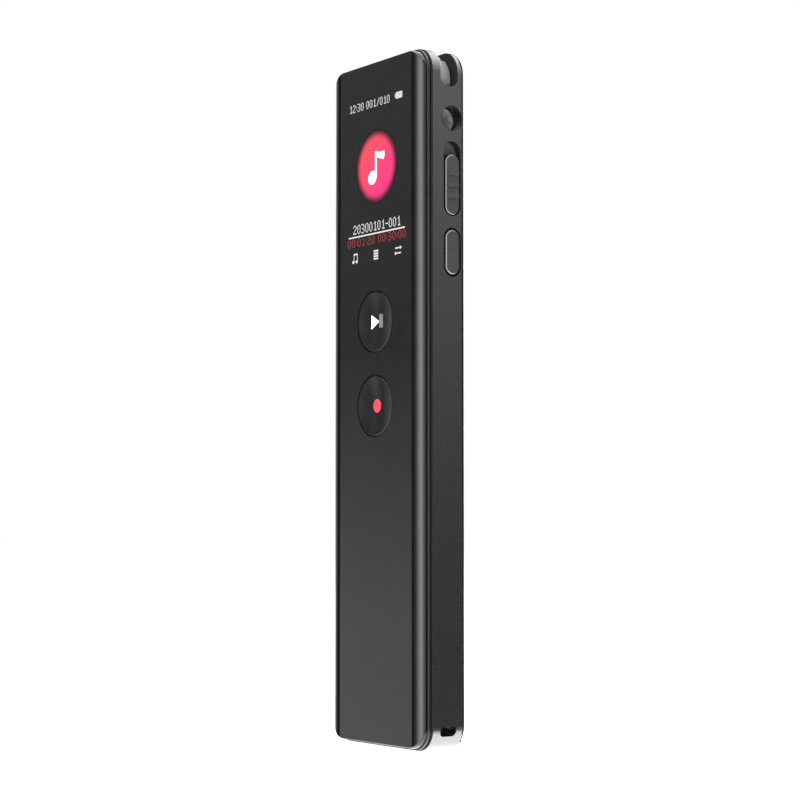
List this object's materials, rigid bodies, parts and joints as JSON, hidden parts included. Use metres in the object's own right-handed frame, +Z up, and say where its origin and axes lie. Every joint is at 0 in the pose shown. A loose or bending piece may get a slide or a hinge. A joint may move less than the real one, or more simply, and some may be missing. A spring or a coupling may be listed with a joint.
{
  "type": "handheld voice recorder",
  "caption": "Slim upright voice recorder with a cover glass over a small display, round dished keys, a side slide switch, a push key, a rocker and a headphone jack.",
  "frame": {"origin": "middle of the bottom end, half way through the thickness", "axes": "+Z up along the length, -Y out of the glass front, +X towards the side with the jack and the slide switch"},
  "size_m": [0.0252, 0.0082, 0.1009],
  "materials": {
    "housing_metal": "fine bead-blasted, dark grey anodised",
    "frame_plastic": "satin moulded, dark grey",
    "cover_glass": "polished clear glass over a black printed layer",
    "button_gloss": "polished black, shallow dish",
    "control_metal": "fine satin dark grey, as the housing",
    "display": "lit display elements",
    "light_guide": "clear moulded sheet",
    "steel": "stamped sheet",
    "bright_plating": "nickel plated",
    "contact_metal": "gold plated spring or copper wire",
    "black_plastic": "glass-filled moulded",
    "chip_resin": "moulded resin",
    "board_laminate": "green solder mask",
    "flex_film": "amber polyimide film",
    "soft_rubber": "soft moulded",
    "foil_pouch": "laminated foil",
    "lead_insulation": "silicone insulation",
    "speaker_film": "pressed film"
  },
  "bodies": {
    "housing": {"rear_housing": "housing_metal", "front_frame": "frame_plastic", "front_panel": "cover_glass", "slide_guide": "control_metal", "display_cell": "display", "display_backlight": "light_guide", "display_bracket": "steel", "pcb_screws": "steel", "usb_shell": "steel", "rocker_pin": "steel", "rocker_bracket": "steel", "speaker_magnet": "steel", "speaker_mesh": "steel", "mic_mesh_left": "steel", "mic_mesh_right": "steel", "mic_capsule_left": "steel", "mic_capsule_right": "steel", "crystal": "steel", "jack_sleeve": "bright_plating", "jack_contacts": "contact_metal", "speaker_coil": "contact_metal", "jack_body": "black_plastic", "usb_insert": "black_plastic", "slide_switch_body": "black_plastic", "side_switch_body": "black_plastic", "volume_switches": "black_plastic", "display_connector": "black_plastic", "battery_connector": "black_plastic", "speaker_frame": "black_plastic", "button_switches": "black_plastic", "processor": "chip_resin", "memory_chip": "chip_resin", "audio_amplifier": "chip_resin", "power_inductor": "chip_resin", "chip_capacitors": "chip_resin", "main_pcb": "board_laminate", "battery_board": "board_laminate", "display_flex": "flex_film", "mic_flex": "flex_film", "button_membrane": "soft_rubber", "mic_boot_left": "soft_rubber", "mic_boot_right": "soft_rubber", "speaker_gasket": "soft_rubber", "battery_pad": "soft_rubber", "panel_adhesive": "soft_rubber", "battery_cell": "foil_pouch", "battery_leads": "lead_insulation", "speaker_cone": "speaker_film"},
    "play_key": {"play_button": "button_gloss"},
    "record_key": {"record_button": "button_gloss"},
    "slider": {"slide_knob": "control_metal", "slide_switch_lever": "black_plastic"},
    "push_key": {"side_key": "control_metal", "side_key_plunger": "black_plastic"},
    "rocker": {"volume_rocker": "control_metal"}
  },
  "joints": [
    {"name": "play_press", "type": "slide", "parent": "housing", "child": "play_key", "axis": [0, 1, 0], "range_m": [0, 0.00025], "stiffness_N_per_m": 1000, "springref_m": -0.0005},
    {"name": "record_press", "type": "slide", "parent": "housing", "child": "record_key", "axis": [0, 1, 0], "range_m": [0, 0.00025], "stiffness_N_per_m": 1000, "springref_m": -0.0005},
    {"name": "power_slide", "type": "slide", "parent": "housing", "child": "slider", "axis": [0, 0, 1], "range_m": [0, 0.0017]},
    {"name": "side_key_press", "type": "slide", "parent": "housing", "child": "push_key", "axis": [-1, 0, 0], "range_m": [0, 0.00025], "stiffness_N_per_m": 1000, "springref_m": -0.0005},
    {"name": "volume_rock", "type": "hinge", "parent": "housing", "child": "rocker", "pos_m": [-0.0093, 0.00115, 0.07835], "axis": [0, 1, 0], "range_deg": [-1.6, 1.6], "stiffness_Nm_per_rad": 0.05}
  ]
}
